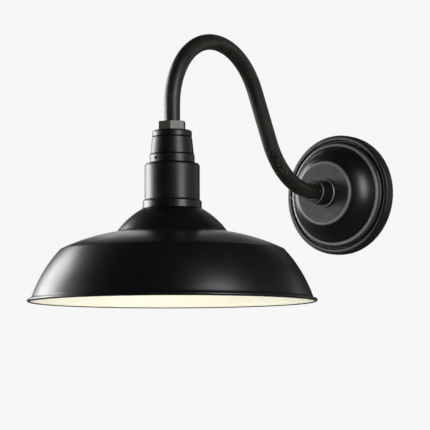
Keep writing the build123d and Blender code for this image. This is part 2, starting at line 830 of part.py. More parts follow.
glass_foot_r = lamp_base_r - lamp_base_wall - fit_gap
base_top = foot_contact - lamp_base_top
base_foot = base_top - lamp_base_length
flare_z = foot_contact - stem_start

with BuildPart() as bulb_contact:
    with BuildSketch(level.offset(foot_contact - foot_height)):
        Circle(foot_r)
    extrude(amount=foot_height)
    round_edges = bulb_contact.edges().filter_by(GeomType.CIRCLE)
    fillet(nearest_edge(round_edges, (foot_r, -arm_reach, foot_contact)), foot_edge)
finish(bulb_contact, "bulb_contact")

with BuildPart() as bulb_insulator:
    turn(
        neck_axis,
        section,
        (0, foot_contact - foot_height),
        (insulator_foot_r, foot_contact - foot_height),
        (lamp_base_lip_r, base_top),
        (lamp_base_lip_r, base_top - lamp_base_wall),
        (glass_foot_r - lamp_base_break, base_top - lamp_base_wall),
        (glass_foot_r - lamp_base_break, foot_contact - insulator_depth),
        (0, foot_contact - insulator_depth),
    )
finish(bulb_insulator, "bulb_insulator")

with BuildPart() as bulb_base:
    inner_r = lamp_base_r - lamp_base_wall
    turn(
        neck_axis,
        section,
        (lamp_base_lip_r, base_top),
        (lamp_base_r - lamp_base_break, base_top),
        (lamp_base_r, base_top - lamp_base_break),
        (lamp_base_r, base_foot),
        (inner_r, base_foot),
        (inner_r, base_top - lamp_base_break),
        (inner_r - lamp_base_break, base_top - lamp_base_wall),
        (lamp_base_lip_r, base_top - lamp_base_wall),
    )
finish(bulb_base, "bulb_base")

def lamp_body(inset, mode):
    """Turn the lamp's bulb, drawn in by a distance from its outer side."""
    bowl_r = lamp_r - inset
    bowl_z = lamp_tip + lamp_r
    across = bowl_r * cos(radians(lamp_shoulder_angle))
    over = bowl_r * sin(radians(lamp_shoulder_angle))
    with BuildSketch(section) as half:
        with BuildLine():
            top = Line((0, flare_z), (glass_foot_r - inset, flare_z))
            collar = Line(top @ 1, (glass_foot_r - inset, base_foot))
            neck = Spline(
                collar @ 1,
                (lamp_neck_r - inset, foot_contact - lamp_neck_drop),
                (across, bowl_z + over),
                tangents=((0, -1), (over, -across)),
            )
            bowl = ThreePointArc(neck @ 1, (across, bowl_z - over), (0, bowl_z - bowl_r))
            Line(bowl @ 1, top @ 0)
        make_face()
    revolve(half.sketch, axis=neck_axis, mode=mode)


with BuildPart() as bulb_glass:
    lamp_body(0, Mode.ADD)
    lamp_body(lamp_glass, Mode.SUBTRACT)
finish(bulb_glass, "bulb_glass")

with BuildPart() as bulb_stem:
    turn(
        neck_axis,
        section,
        (0, flare_z),
        (glass_foot_r - lamp_glass, flare_z),
        (glass_foot_r - lamp_glass, flare_z - lamp_glass),
        (stem_r, flare_z - stem_flare_length),
        (stem_r, flare_z - stem_length),
        (0, flare_z - stem_length),
    )
finish(bulb_stem, "bulb_stem")

with BuildPart() as bulb_filament:
    stem_end = flare_z - stem_length
    with BuildLine(section):
        FilletPolyline(
            (-wire_base, stem_end),
            (-wire_base, stem_end - wire_straight),
            (-wire_spread, stem_end - wire_length),
            (wire_spread, stem_end - wire_length),
            (wire_base, stem_end - wire_straight),
            (wire_base, stem_end),
            radius=wire_round,
        )
    with BuildSketch(level.offset(stem_end)):
        with Locations((-wire_base, 0)):
            Circle(wire_r)
    sweep()
finish(bulb_filament, "bulb_filament")
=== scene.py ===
from math import cos, radians, sin

import bpy
from mathutils import Matrix, Vector


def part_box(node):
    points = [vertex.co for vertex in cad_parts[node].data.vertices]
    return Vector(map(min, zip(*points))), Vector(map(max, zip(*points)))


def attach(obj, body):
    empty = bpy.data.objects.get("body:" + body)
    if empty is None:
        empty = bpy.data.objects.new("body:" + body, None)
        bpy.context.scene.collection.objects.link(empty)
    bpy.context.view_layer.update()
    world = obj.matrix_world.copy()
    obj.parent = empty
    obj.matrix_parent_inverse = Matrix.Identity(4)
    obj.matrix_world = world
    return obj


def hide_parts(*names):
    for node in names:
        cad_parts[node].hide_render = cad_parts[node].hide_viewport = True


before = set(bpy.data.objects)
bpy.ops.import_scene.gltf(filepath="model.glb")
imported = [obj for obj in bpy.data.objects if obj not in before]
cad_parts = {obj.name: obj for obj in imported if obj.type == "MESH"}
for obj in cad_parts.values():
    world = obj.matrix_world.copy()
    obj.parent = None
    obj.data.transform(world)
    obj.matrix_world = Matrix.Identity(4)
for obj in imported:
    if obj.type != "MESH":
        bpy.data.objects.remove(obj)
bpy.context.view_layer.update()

# ------------------------------------------------------------------ camera and studio
# The fixture is seen from its left front, a little from below, through a long lens. Three soft
# lights stand at its left, three at its right, two faint ones behind it, and one below it lights
# the white inside of the shade. The floor and the backdrop are pale paper, the room is dark.
scene = bpy.context.scene
scene.view_settings.view_transform = "Standard"

frame_pixels = 430
lens_pixels = 2400
film_width = 36
camera_bearing = radians(35.905)
camera_tilt = radians(94.7)
camera_roll = radians(-0.19)
camera_place = Vector((1.512443, -2.342306, -0.251101))
camera_turn = (
    Matrix.Rotation(camera_bearing, 3, "Z")
    @ Matrix.Rotation(camera_tilt, 3, "X")
    @ Matrix.Rotation(camera_roll, 3, "Z")
)
bpy.ops.object.camera_add(location=camera_place, rotation=camera_turn.to_euler())
camera = bpy.context.object
camera.name = "camera"
camera.data.sensor_width = film_width
camera.data.lens = lens_pixels / frame_pixels * film_width
camera.data.clip_end = 60
scene.camera = camera

aim = Vector((0, -0.2, -0.02))
toward_camera = Vector((sin(camera_bearing), -cos(camera_bearing), 0))
toward_left = Vector((-cos(camera_bearing), -sin(camera_bearing), 0))

# name, degrees from the camera to the left, metres above the aim and away from it, size, watts
soft_lights = (
    ("left_low", 104, 0.05, 1.7, (0.7, 0.7), 27),
    ("left_tall", 124, 0.42, 1.7, (0.9, 1.2), 29),
    ("left_fill", 86, 0.15, 2.6, (0.7, 1.2), 3.4),
    ("right_light", -35, 0.36, 1.25, (0.52, 0.9), 14.5),
    ("right_fill", -88, 0.3, 2.2, (2.2, 1.3), 4.5),
    ("right_rim", -128, 0.25, 2.2, (0.7, 1.3), 2),
    ("behind_left", 173, 0.78, 1.6, (0.45, 0.4), 1),
    ("behind_right", -158, 1, 1.5, (0.9, 0.7), 0.55),
    ("under_light", -12, -0.75, 0.7, (1.3, 1.1), 12.8),
)
for name, bearing, height, distance, size, power in soft_lights:
    out = toward_camera * cos(radians(bearing)) + toward_left * sin(radians(bearing))
    place = aim + out * distance + Vector((0, 0, height))
    turn = (place - aim).to_track_quat("Z", "Y").to_euler()
    bpy.ops.object.light_add(type="AREA", location=place, rotation=turn)
    light = bpy.context.object
    light.name = name
    light.data.shape = "RECTANGLE"
    light.data.size, light.data.size_y = size
    light.data.energy = power
bpy.data.objects["under_light"].visible_glossy = False


def add_node(tree, kind, sockets=None, **settings):
    """Add a node to a tree. A socket is given a plain value, or the output it is linked to."""
    node = tree.nodes.new(kind)
    for setting, value in settings.items():
        setattr(node, setting, value)
    for socket, value in (sockets or {}).items():
        if isinstance(value, bpy.types.NodeSocket):
            tree.links.new(value, node.inputs[socket])
        else:
            node.inputs[socket].default_value = value
    return node


def number(tree, operation, *numbers):
    """Output of a Math node, whose inputs are plain numbers or outputs."""
    sockets = dict(enumerate(numbers))
    return add_node(tree, "ShaderNodeMath", sockets, operation=operation).outputs[0]


def new_material(name):
    """Material with nodes; returns it, its tree and its Principled shader."""
    material = bpy.data.materials.new(name)
    material.use_nodes = True
    return material, material.node_tree, material.node_tree.nodes["Principled BSDF"]


pale = (0.925, 0.925, 0.925, 1)


def paper(name, glow_share, reflected):
    """Pale studio paper, lit by the lights and made white by a glow of its own: a share of it for
    what is seen directly and through glass, and all of it, at another strength, in a reflection.
    From behind the paper can be seen through, so that it hides nothing of the underside."""
    material, tree, shader = new_material(name)
    shader.inputs["Base Color"].default_value = (0.82, 0.82, 0.82, 1)
    shader.inputs["Roughness"].default_value = 0.9
    rays = add_node(tree, "ShaderNodeLightPath").outputs
    direct = number(tree, "MAXIMUM", rays["Is Camera Ray"], rays["Is Transmission Ray"])
    seen = number(tree, "MULTIPLY", direct, glow_share)
    share = number(tree, "MAXIMUM", rays["Is Glossy Ray"], seen)
    strength = add_node(
        tree,
        "ShaderNodeMapRange",
        {"Value": rays["Is Glossy Ray"], "To Min": 1, "To Max": reflected},
    ).outputs[0]
    glow = add_node(tree, "ShaderNodeEmission", {"Color": pale, "Strength": strength}).outputs[0]
    front = add_node(tree, "ShaderNodeMixShader", {"Fac": share, 1: shader.outputs[0], 2: glow})
    behind = add_node(tree, "ShaderNodeNewGeometry").outputs["Backfacing"]
    clear = add_node(tree, "ShaderNodeBsdfTransparent").outputs[0]
    sided = add_node(tree, "ShaderNodeMixShader", {"Fac": behind, 1: front.outputs[0], 2: clear})
    tree.links.new(sided.outputs[0], tree.nodes["Material Output"].inputs["Surface"])
    return material


floor_height = -1.7
floor_size = 60
bpy.ops.mesh.primitive_plane_add(size=floor_size, location=(0, 0, floor_height))
floor = bpy.context.object
floor.name = "floor"
floor.data.materials.append(paper("floor_paper", glow_share=0.85, reflected=0.1))

backdrop_size = Vector((2.6, 4.6, 1))
backdrop_distance = 9
backdrop_rise = Vector((0, 0, 1.1))
bpy.ops.mesh.primitive_plane_add(
    size=1,
    location=aim - toward_camera * backdrop_distance + backdrop_rise,
    rotation=(radians(90), 0, camera_bearing),
)
backdrop = bpy.context.object
backdrop.name = "backdrop"
backdrop.scale = backdrop_size
backdrop.data.materials.append(paper("backdrop_paper", glow_share=1, reflected=1))

world = bpy.data.worlds.new("studio")
scene.world = world
world.use_nodes = True
air = world.node_tree
room = add_node(air, "ShaderNodeBackground", {"Color": (1, 1, 1, 1), "Strength": 0.045}).outputs[0]
sky = add_node(air, "ShaderNodeBackground", {"Color": pale, "Strength": 1}).outputs[0]
rays = add_node(air, "ShaderNodeLightPath").outputs
looking = number(air, "MAXIMUM", rays["Is Camera Ray"], rays["Is Transmission Ray"])
both = add_node(air, "ShaderNodeMixShader", {"Fac": looking, 1: room, 2: sky}).outputs[0]
air.links.new(both, air.nodes["World Output"].inputs["Surface"])

# ------------------------------------------------------------------ crossbar, washer, hidden nuts
# Stamped and cold-headed steel, zinc plated: a cool grey with cloudy yellow and blue passivation
# and fine rub marks. The bar is screwed to the junction box, the nuts clamp the pipe from behind.


def new_group(name, inputs, output_names):
    """Empty node group with number sockets and, where a default is None, vector sockets; returns
    it, its entry and its exit."""
    group = bpy.data.node_groups.new(name, "ShaderNodeTree")
    for socket, value in inputs.items():
        kind = "NodeSocketVector" if value is None else "NodeSocketFloat"
        made = group.interface.new_socket(socket, in_out="INPUT", socket_type=kind)
        if value is not None:
            made.default_value = value
    for socket in output_names:
        group.interface.new_socket(socket, in_out="OUTPUT", socket_type="NodeSocketFloat")
    entry = group.nodes.new("NodeGroupInput").outputs
    leave = group.nodes.new("NodeGroupOutput").inputs
    return group, entry, leave


def stretch(tree, value, first, last, low=0, high=1):
    """Number that goes from low to high as a value goes from first to last."""
    sockets = {"Value": value, "From Min": first, "From Max": last, "To Min": low, "To Max": high}
    return add_node(tree, "ShaderNodeMapRange", sockets).outputs[0]


def between(tree, share, low, high):
    """Number that goes from low to high as a share goes from 0 to 1."""
    return stretch(tree, share, 0, 1, low, high)


noise_low, noise_high = 0.3, 0.7                 # a noise seldom leaves this range

# clouds: soft patches and fine grain of a surface, both from 0 to 1, in sizes given in metres
clouds, entry, leave = new_group(
    "clouds", {"Point": None, "Patch Size": 0.03, "Grain Size": 0.001}, ("Patches", "Grain")
)
for size_name, detail, out_name in (("Patch Size", 3, "Patches"), ("Grain Size", 2, "Grain")):
    per_metre = number(clouds, "DIVIDE", 1, entry[size_name])
    noise = add_node(
        clouds,
        "ShaderNodeTexNoise",
        {"Vector": entry["Point"], "Scale": per_metre, "Detail": detail, "Roughness": 0.55},
    )
    spread = stretch(clouds, noise.outputs["Fac"], noise_low, noise_high)
    clouds.links.new(spread, leave[out_name])

# rub_marks: thin scratches of mixed directions, 1 in a scratch and 0 beside it
rub_marks, entry, leave = new_group("rub_marks", {"Point": None, "Length": 0.02}, ("Marks",))
mark_from, mark_to = 0.66, 0.74                  # only the noise's tops make a scratch
mark_thinness = (1, 22, 22)
mark_layers = []
for tilt in (0.35, 1.25, 2.3):
    turn = (tilt, 0.7 * tilt, tilt)
    narrowed = {"Vector": entry["Point"], "Rotation": turn, "Scale": mark_thinness}
    marks_point = add_node(rub_marks, "ShaderNodeMapping", narrowed).outputs[0]
    per_metre = number(rub_marks, "DIVIDE", 1, entry["Length"])
    noise = add_node(
        rub_marks, "ShaderNodeTexNoise", {"Vector": marks_point, "Scale": per_metre, "Detail": 1}
    )
    mark_layers.append(stretch(rub_marks, noise.outputs["Fac"], mark_from, mark_to))
two_layers = number(rub_marks, "MAXIMUM", mark_layers[0], mark_layers[1])
three_layers = number(rub_marks, "MAXIMUM", two_layers, mark_layers[2])
rub_marks.links.new(three_layers, leave["Marks"])


def lay(tree, group, **sockets):
    """Put a node group into a material, on the piece's own coordinates unless it is given a
    Point, and return its outputs."""
    values = {"Point": add_node(tree, "ShaderNodeTexCoord").outputs["Object"]}
    values.update({socket.replace("_", " "): value for socket, value in sockets.items()})
    return add_node(tree, "ShaderNodeGroup", values, node_tree=group).outputs


def tint(tree, share, colour_a, colour_b):
    """Colour that goes from one to the other as a share goes from 0 to 1."""
    sockets = {0: share}
    for socket, colour in ((6, colour_a), (7, colour_b)):        # the Mix node's colour inputs
        sockets[socket] = (*colour, 1) if isinstance(colour, tuple) else colour
    return add_node(tree, "ShaderNodeMix", sockets, data_type="RGBA").outputs[2]


def relief(tree, shader, height, depth):
    """Raise a surface by a height from 0 to 1 that stands for a depth in metres."""
    bump = add_node(tree, "ShaderNodeBump", {"Height": height, "Distance": depth, "Strength": 1})
    tree.links.new(bump.outputs[0], shader.inputs["Normal"])


def dress(material, *nodes):
    """Give nodes carried over from the frame their finished material."""
    for node in nodes:
        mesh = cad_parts[node].data
        mesh.materials.clear()
        mesh.materials.append(material)


zinc, tree, shader = new_material("zinc_plate")
shader.inputs["Metallic"].default_value = 1
cloudy = lay(tree, clouds, Patch_Size=0.011, Grain_Size=0.0012)
rubbed = lay(tree, rub_marks, Length=0.03)["Marks"]
plated = tint(tree, cloudy["Patches"], (0.5, 0.52, 0.55), (0.66, 0.63, 0.52))
tree.links.new(tint(tree, rubbed, plated, (0.74, 0.74, 0.73)), shader.inputs["Base Color"])
tree.links.new(between(tree, cloudy["Grain"], 0.3, 0.46), shader.inputs["Roughness"])
relief(tree, shader, cloudy["Grain"], 0.00002)
dress(
    zinc, "crossbar", "hub_lock_washer", "hub_inner_nut", "neck_inner_nut",
    "shade_retaining_ring", "lampholder_screws",
)

# ------------------------------------------------------------------ ground screw
# A hexagon washer-head screw dyed green, which marks it as the ground, with the dye rubbed off in
# scratches down to the zinc. It is screwed into the crossbar.
green_dye, tree, shader = new_material("green_dye")
rubbed = lay(tree, rub_marks, Length=0.01)["Marks"]
cloudy = lay(tree, clouds, Patch_Size=0.004, Grain_Size=0.0006)
dyed = tint(tree, cloudy["Patches"], (0.012, 0.13, 0.045), (0.025, 0.24, 0.08))
tree.links.new(tint(tree, rubbed, dyed, (0.4, 0.42, 0.38)), shader.inputs["Base Color"])
tree.links.new(between(tree, rubbed, 0.35, 1), shader.inputs["Metallic"])
tree.links.new(between(tree, cloudy["Grain"], 0.28, 0.42), shader.inputs["Roughness"])
relief(tree, shader, cloudy["Grain"], 0.00001)
dress(green_dye, "crossbar_ground_screw")

# ------------------------------------------------------------------ gaskets
# Rings punched from black closed-cell foam rubber, with a skin of tiny pores. One is pressed
# between the canopy and the wall, the other between the socket cup and the shade.
pores_per_metre = 1500
foam, tree, shader = new_material("foam_rubber")
point = add_node(tree, "ShaderNodeTexCoord").outputs["Object"]
pores = add_node(tree, "ShaderNodeTexVoronoi", {"Vector": point, "Scale": pores_per_metre})
cloudy = lay(tree, clouds, Patch_Size=0.006, Grain_Size=0.0008)
rubber = tint(tree, cloudy["Patches"], (0.009, 0.009, 0.01), (0.018, 0.018, 0.018))
tree.links.new(rubber, shader.inputs["Base Color"])
shader.inputs["Roughness"].default_value = 0.85
shader.inputs["Specular IOR Level"].default_value = 0.25
relief(tree, shader, pores.outputs["Distance"], 0.0002)
dress(foam, "wall_gasket", "shade_gasket")

# ------------------------------------------------------------------ wall canopy
# A thin iron casting, turned on its face and powder coated satin black, with the lathe's fine
# rings, a duller disc round the hub whose lighter tone is partly painted light, and ridges painted
# grey, partly as rubbed coat and partly as painted highlight. It screws to the crossbar.
disc_from, disc_to = 0.034, 0.038                # radii between which the dull disc ends
disc_edge_r, dome_edge_r, drum_edge_r = 0.0355, 0.0577, 0.0647
drum_from, drum_to = 0.0645, 0.0655              # radii between which the duller drum begins

# turned_rings: fine rings round the point's z axis, as a lathe leaves, from 0 to 1
turned_rings, entry, leave = new_group(
    "turned_rings", {"Point": None, "Ring Width": 0.001}, ("Rings",)
)
parts = add_node(turned_rings, "ShaderNodeSeparateXYZ", {0: entry["Point"]}).outputs
flat = add_node(turned_rings, "ShaderNodeCombineXYZ", {"X": parts["X"], "Y": parts["Y"]})
from_axis = add_node(
    turned_rings, "ShaderNodeVectorMath", {0: flat.outputs[0]}, operation="LENGTH"
).outputs["Value"]
along = add_node(turned_rings, "ShaderNodeCombineXYZ", {"X": from_axis, "Y": parts["Z"]})
per_metre = number(turned_rings, "DIVIDE", 1, entry["Ring Width"])
noise = add_node(
    turned_rings,
    "ShaderNodeTexNoise",
    {"Vector": along.outputs[0], "Scale": per_metre, "Detail": 2, "Roughness": 0.6},
    noise_dimensions="2D",
)
spread = stretch(turned_rings, noise.outputs["Fac"], noise_low, noise_high)
turned_rings.links.new(spread, leave["Rings"])


def axis_point(tree, place, turn=(0, 0, 0)):
    """The piece's own coordinates, moved and turned so that z runs along an axis of the object."""
    here = add_node(tree, "ShaderNodeTexCoord").outputs["Object"]
    moved = add_node(tree, "ShaderNodeVectorMath", {0: here, 1: place}, operation="SUBTRACT")
    turned_to = {"Vector": moved.outputs[0], "Rotation": turn}
    return add_node(tree, "ShaderNodeMapping", turned_to).outputs[0]


def band(tree, value, middle, half_width):
    """1 where a value is at the middle, falling to 0 at half a width to either side."""
    off = number(tree, "ABSOLUTE", number(tree, "SUBTRACT", value, middle))
    return add_node(
        tree,
        "ShaderNodeMapRange",
        {"Value": off, "From Max": half_width, "To Min": 1, "To Max": 0},
        interpolation_type="SMOOTHSTEP",
    ).outputs[0]


canopy_coat, tree, shader = new_material("canopy_coat")
cloudy = lay(tree, clouds, Patch_Size=0.009, Grain_Size=0.0014)
on_axis = axis_point(tree, (0, 0, 0), (radians(90), 0, 0))
rings = lay(tree, turned_rings, Point=on_axis, Ring_Width=0.0016)["Rings"]
across = add_node(tree, "ShaderNodeVectorMath", {0: on_axis, 1: (1, 1, 0)}, operation="MULTIPLY")
radius = add_node(
    tree, "ShaderNodeVectorMath", {0: across.outputs[0]}, operation="LENGTH"
).outputs["Value"]
disc = stretch(tree, radius, disc_from, disc_to, 1, 0)
drum = stretch(tree, radius, drum_from, drum_to)
worked = number(tree, "MULTIPLY", cloudy["Patches"], between(tree, rings, 0.7, 1))
plain_coat = tint(tree, worked, (0.0015, 0.0015, 0.0015), (0.0028, 0.0028, 0.0027))
# the disc is rougher and painted lighter: partly a duller finish, partly painted light for the
# light it catches from the left
dull_coat_and_painted_light = tint(tree, worked, (0.004, 0.004, 0.0038), (0.026, 0.026, 0.0252))
coated = tint(tree, disc, plain_coat, dull_coat_and_painted_light)
# painted highlight: bands at the disc edge, dome edge and drum ridge are painted grey, standing in
# for highlight lines as well as rubbed coat
disc_edge = band(tree, radius, disc_edge_r, 0.0022)
dome_edge = band(tree, radius, dome_edge_r, 0.0026)
drum_edge = band(tree, radius, drum_edge_r, 0.0009)
edges = number(tree, "MAXIMUM", number(tree, "MAXIMUM", disc_edge, dome_edge), drum_edge)
worn_and_highlit_edges = number(tree, "MULTIPLY", edges, between(tree, cloudy["Grain"], 0.55, 1))
tree.links.new(
    tint(tree, worn_and_highlit_edges, coated, (0.15, 0.15, 0.147)), shader.inputs["Base Color"]
)
duller = number(tree, "MAXIMUM", disc, drum)
tree.links.new(between(tree, duller, 0.34, 0.5), shader.inputs["Roughness"])
shader.inputs["Specular IOR Level"].default_value = 0.4
ring_share = 0.35
relief(tree, shader, number(tree, "MULTIPLY_ADD", rings, ring_share, cloudy["Grain"]), 0.00002)
dress(canopy_coat, "wall_canopy")

# ------------------------------------------------------------------ hub, locknut, canopy screw
# Turned steel in the same black powder coat, smoother than the casting, its slanted edges painted
# grey, partly as rubbed coat and partly as painted highlight. The hub stands on the canopy, the
# hexagon nut closes it, the ball-headed screw holds the canopy at its left.
slant, slant_half_width = 0.65, 0.4              # how far a slanted edge faces out from the wall
hub_coat, tree, shader = new_material("hub_coat")
cloudy = lay(tree, clouds, Patch_Size=0.012, Grain_Size=0.0014)
facing = add_node(tree, "ShaderNodeTexCoord").outputs["Normal"]
outward = add_node(
    tree, "ShaderNodeVectorMath", {0: facing, 1: (0, -1, 0)}, operation="DOT_PRODUCT"
).outputs["Value"]
# painted highlight: edges that face partly out from the wall are painted grey, partly as rubbed
# coat
slanted_wear_and_highlight = band(tree, outward, slant, slant_half_width)
worn_and_highlit_edges = number(tree, "MULTIPLY", slanted_wear_and_highlight, between(tree, cloudy["Grain"], 0.6, 1))
coated = tint(tree, cloudy["Patches"], (0.0028, 0.0028, 0.0028), (0.0045, 0.0045, 0.0044))
tree.links.new(
    tint(tree, worn_and_highlit_edges, coated, (0.13, 0.13, 0.127)), shader.inputs["Base Color"]
)
tree.links.new(between(tree, cloudy["Patches"], 0.3, 0.36), shader.inputs["Roughness"])
relief(tree, shader, cloudy["Grain"], 0.00001)
dress(hub_coat, "arm_hub", "hub_locknut", "canopy_screw")

# ------------------------------------------------------------------ gooseneck arm
# A bent iron pipe with a thin blackened and oiled finish over its mill scale: a warm dark grey,
# patchy along its length, with a few rust-brown flecks. It is threaded into the neck and the hub.
pipe_finish, tree, shader = new_material("blackened_pipe")
shader.inputs["Specular IOR Level"].default_value = 0.37
cloudy = lay(tree, clouds, Patch_Size=0.014, Grain_Size=0.0013)
flecked = lay(tree, clouds, Patch_Size=0.0032, Grain_Size=0.0009)
gathered = lay(tree, clouds, Patch_Size=0.045, Grain_Size=0.002)["Patches"]
flecks = stretch(tree, flecked["Patches"], 0.72, 0.9)
rusty_places = stretch(tree, gathered, 0.55, 0.8)
rusty = number(tree, "MULTIPLY", flecks, rusty_places)
blackened = tint(tree, cloudy["Patches"], (0.0032, 0.0032, 0.0021), (0.0105, 0.0105, 0.0076))
tree.links.new(tint(tree, rusty, blackened, (0.055, 0.034, 0.021)), shader.inputs["Base Color"])
tree.links.new(between(tree, cloudy["Grain"], 0.36, 0.54), shader.inputs["Roughness"])
relief(tree, shader, flecked["Grain"], 0.00002)
dress(pipe_finish, "gooseneck_arm")

# ------------------------------------------------------------------ arm bushings
# Black nylon plugs, injection moulded, pushed into both ends of the pipe so that its edge can't
# cut the leads. Their skin is evenly grained and slightly waxy.


def mottled(name, dark, light, patch, grain, smooth, rough):
    """Material with soft patches in its tone and a fine grain in its gloss; returns it, its tree,
    its shader and its clouds."""
    material, tree, shader = new_material(name)
    cloudy = lay(tree, clouds, Patch_Size=patch, Grain_Size=grain)
    tree.links.new(tint(tree, cloudy["Patches"], dark, light), shader.inputs["Base Color"])
    tree.links.new(between(tree, cloudy["Grain"], smooth, rough), shader.inputs["Roughness"])
    return material, tree, shader, cloudy


nylon, tree, shader, cloudy = mottled(
    "black_nylon", (0.014, 0.014, 0.014), (0.024, 0.024, 0.024), 0.005, 0.0005, 0.42, 0.58
)
relief(tree, shader, cloudy["Grain"], 0.00001)
dress(nylon, "arm_bushings")

# ------------------------------------------------------------------ neck locknut
# A bare steel hexagon nut, gone olive-brown with age and rubbed bright again in streaks by the
# wrench. It locks the neck to the pipe.
aged_steel, tree, shader = new_material("aged_steel")
shader.inputs["Specular IOR Level"].default_value = 0.45
point = add_node(tree, "ShaderNodeTexCoord").outputs["Object"]
upright = add_node(tree, "ShaderNodeMapping", {"Vector": point, "Scale": (1, 1, 0.4)}).outputs[0]
streaks = lay(tree, clouds, Point=upright, Patch_Size=0.0014, Grain_Size=0.0006)
cloudy = lay(tree, clouds, Patch_Size=0.007, Grain_Size=0.0009)
worn = number(tree, "MULTIPLY", streaks["Patches"], cloudy["Patches"])
aged = tint(tree, worn, (0.01, 0.0088, 0.0035), (0.033, 0.0297, 0.0185))
tree.links.new(aged, shader.inputs["Base Color"])
tree.links.new(between(tree, worn, 0.02, 0.4), shader.inputs["Metallic"])
tree.links.new(between(tree, streaks["Grain"], 0.24, 0.36), shader.inputs["Roughness"])
relief(tree, shader, streaks["Grain"], 0.00003)
dress(aged_steel, "neck_locknut")

# ------------------------------------------------------------------ neck and socket cup
# Turned and drawn pieces stacked on the pipe, powder coated satin black in one go. The cap pushes
# into the tapered body, the body into the ring, and the ring's set screws hold it on the cup.


def coat(name, rough, patch):
    """Satin black powder coat: soft patches in tone and gloss, and the fine waves of its flow."""
    material, tree, shader = new_material(name)
    shader.inputs["Specular IOR Level"].default_value = 0.36
    cloudy = lay(tree, clouds, Patch_Size=patch, Grain_Size=0.0018)
    black = tint(tree, cloudy["Patches"], (0.0018, 0.0018, 0.0018), (0.0031, 0.0031, 0.003))
    tree.links.new(black, shader.inputs["Base Color"])
    gloss = between(tree, cloudy["Patches"], rough - 0.03, rough + 0.03)
    tree.links.new(gloss, shader.inputs["Roughness"])
    relief(tree, shader, cloudy["Grain"], 0.000008)
    return material


dress(coat("neck_coat", 0.38, 0.02), "neck_cap", "neck_body", "lock_ring", "socket_cup")

# ------------------------------------------------------------------ set screws
# Black oxide socket set screws in the ring, slightly below its surface. The oxide is a thin oily
# brown-black skin on steel, worn at random.
black_oxide, tree, shader, cloudy = mottled(
    "black_oxide", (0.012, 0.012, 0.013), (0.035, 0.032, 0.03), 0.001, 0.0003, 0.4, 0.55
)
shader.inputs["Metallic"].default_value = 1
dress(black_oxide, "set_screws")

# ------------------------------------------------------------------ ground terminal and brass parts
# Stamped and turned brass, tarnished brown in patches: the ring terminal under the neck's nut, the
# lampholder's screw shell, its sprung contact and its two terminal screws.
brass, tree, shader = new_material("tarnished_brass")
shader.inputs["Metallic"].default_value = 1
cloudy = lay(tree, clouds, Patch_Size=0.005, Grain_Size=0.0007)
rubbed = lay(tree, rub_marks, Length=0.012)["Marks"]
tarnished = tint(tree, cloudy["Patches"], (0.72, 0.5, 0.22), (0.46, 0.29, 0.12))
tree.links.new(tint(tree, rubbed, tarnished, (0.85, 0.66, 0.36)), shader.inputs["Base Color"])
tree.links.new(between(tree, cloudy["Patches"], 0.22, 0.4), shader.inputs["Roughness"])
relief(tree, shader, cloudy["Grain"], 0.00001)
dress(brass, "ground_terminal", "screw_shell", "centre_contact", "terminal_screws")

# ------------------------------------------------------------------ lampholder body
# Glazed white electrical porcelain, cast and fired: an even, faintly warm gloss with slow waves in
# the glaze and a few grey specks. Two screws hold it under the cup's plate.
glaze, tree, shader = new_material("porcelain_glaze")
cloudy = lay(tree, clouds, Patch_Size=0.009, Grain_Size=0.0011)
specks = stretch(tree, cloudy["Grain"], 0.97, 1)
fired = tint(tree, cloudy["Patches"], (0.8, 0.78, 0.72), (0.86, 0.84, 0.79))
tree.links.new(tint(tree, specks, fired, (0.4, 0.37, 0.33)), shader.inputs["Base Color"])
shader.inputs["Roughness"].default_value = 0.14
shader.inputs["Coat Weight"].default_value = 0.4
relief(tree, shader, cloudy["Patches"], 0.00008)
dress(glaze, "lampholder_body")

# ------------------------------------------------------------------ shade
# Spun from one steel disc: a collar, two domes and a skirt whose edge is rolled round a wire.
# Powder coated satin black outside, enamelled cream white inside. A ring holds its flange against
# the socket cup.
mm = 0.001
shade_sides = 224
shade_y = -0.33
shade_top = -28.45 * mm
sheet = 1.2 * mm
shade_hole_r = 26.3 * mm
flange_r = 28 * mm
collar_r = 31.15 * mm
collar_round = 2.4 * mm
collar_heights = (-5 * mm, -7.8 * mm)
collar_foot = Vector((31.9 * mm, -9.2 * mm))     # radius, and height from the shade's top
dome_foot = Vector((58.7 * mm, -33.8 * mm))
brim_edge = Vector((117.9 * mm, -52.1 * mm))
skirt_foot = Vector((147.5 * mm, -101.3 * mm))
collar_bow = -0.2 * mm                           # how far each part bulges past its chord
dome_bow = 2 * mm
brim_bow = 2.4 * mm
skirt_bow = 2.9 * mm
dome_ease = 0.6 * mm                             # reach of the soft corner before each part
brim_ease = 1.3 * mm
skirt_ease = 0.8 * mm
flare_way = Vector((0.334, -0.943))              # the skirt's direction where its flare starts
flare_length = 2.2 * mm
rim_centre = Vector((150.6 * mm, -105.6 * mm))
flare_end = rim_centre + Vector((-0.6 * mm, 0.9 * mm))
bead_r = 1.8 * mm
bead_start = 130                                 # where the roll leaves the skirt's outer side
bead_end = -190
bead_steps = 26


def bowed(start, end, bow, steps):
    """Points of a shallow arc that bulges by bow to the left of its way."""
    chord = end - start
    left = Vector((-chord.y, chord.x)).normalized()
    shares = [step / steps for step in range(steps + 1)]
    return [start + chord * share + left * bow * 4 * share * (1 - share) for share in shares]


def arc(centre, radius, first, last, steps):
    """Points of a round arc between two angles in degrees."""
    turns = [radians(first + (last - first) * step / steps) for step in range(steps + 1)]
    return [centre + Vector((cos(turn), sin(turn))) * radius for turn in turns]


def bent(start, corner, end, shares):
    """Points at shares of the way along a curve that leaves and arrives toward a corner."""
    return [
        start * (1 - share) ** 2 + corner * 2 * share * (1 - share) + end * share**2
        for share in shares
    ]


def eased(before, after, reach, steps=5):
    """Join two runs of points whose ends meet, with their corner rounded off within a reach."""
    corner = before[-1]
    first = corner + (before[-2] - corner).normalized() * reach
    last = corner + (after[1] - corner).normalized() * reach
    kept_before = [point for point in before if (point - corner).length > reach]
    kept_after = [point for point in after if (point - corner).length > reach]
    curve = bent(first, corner, last, [step / steps for step in range(steps + 1)])
    return kept_before + curve + kept_after


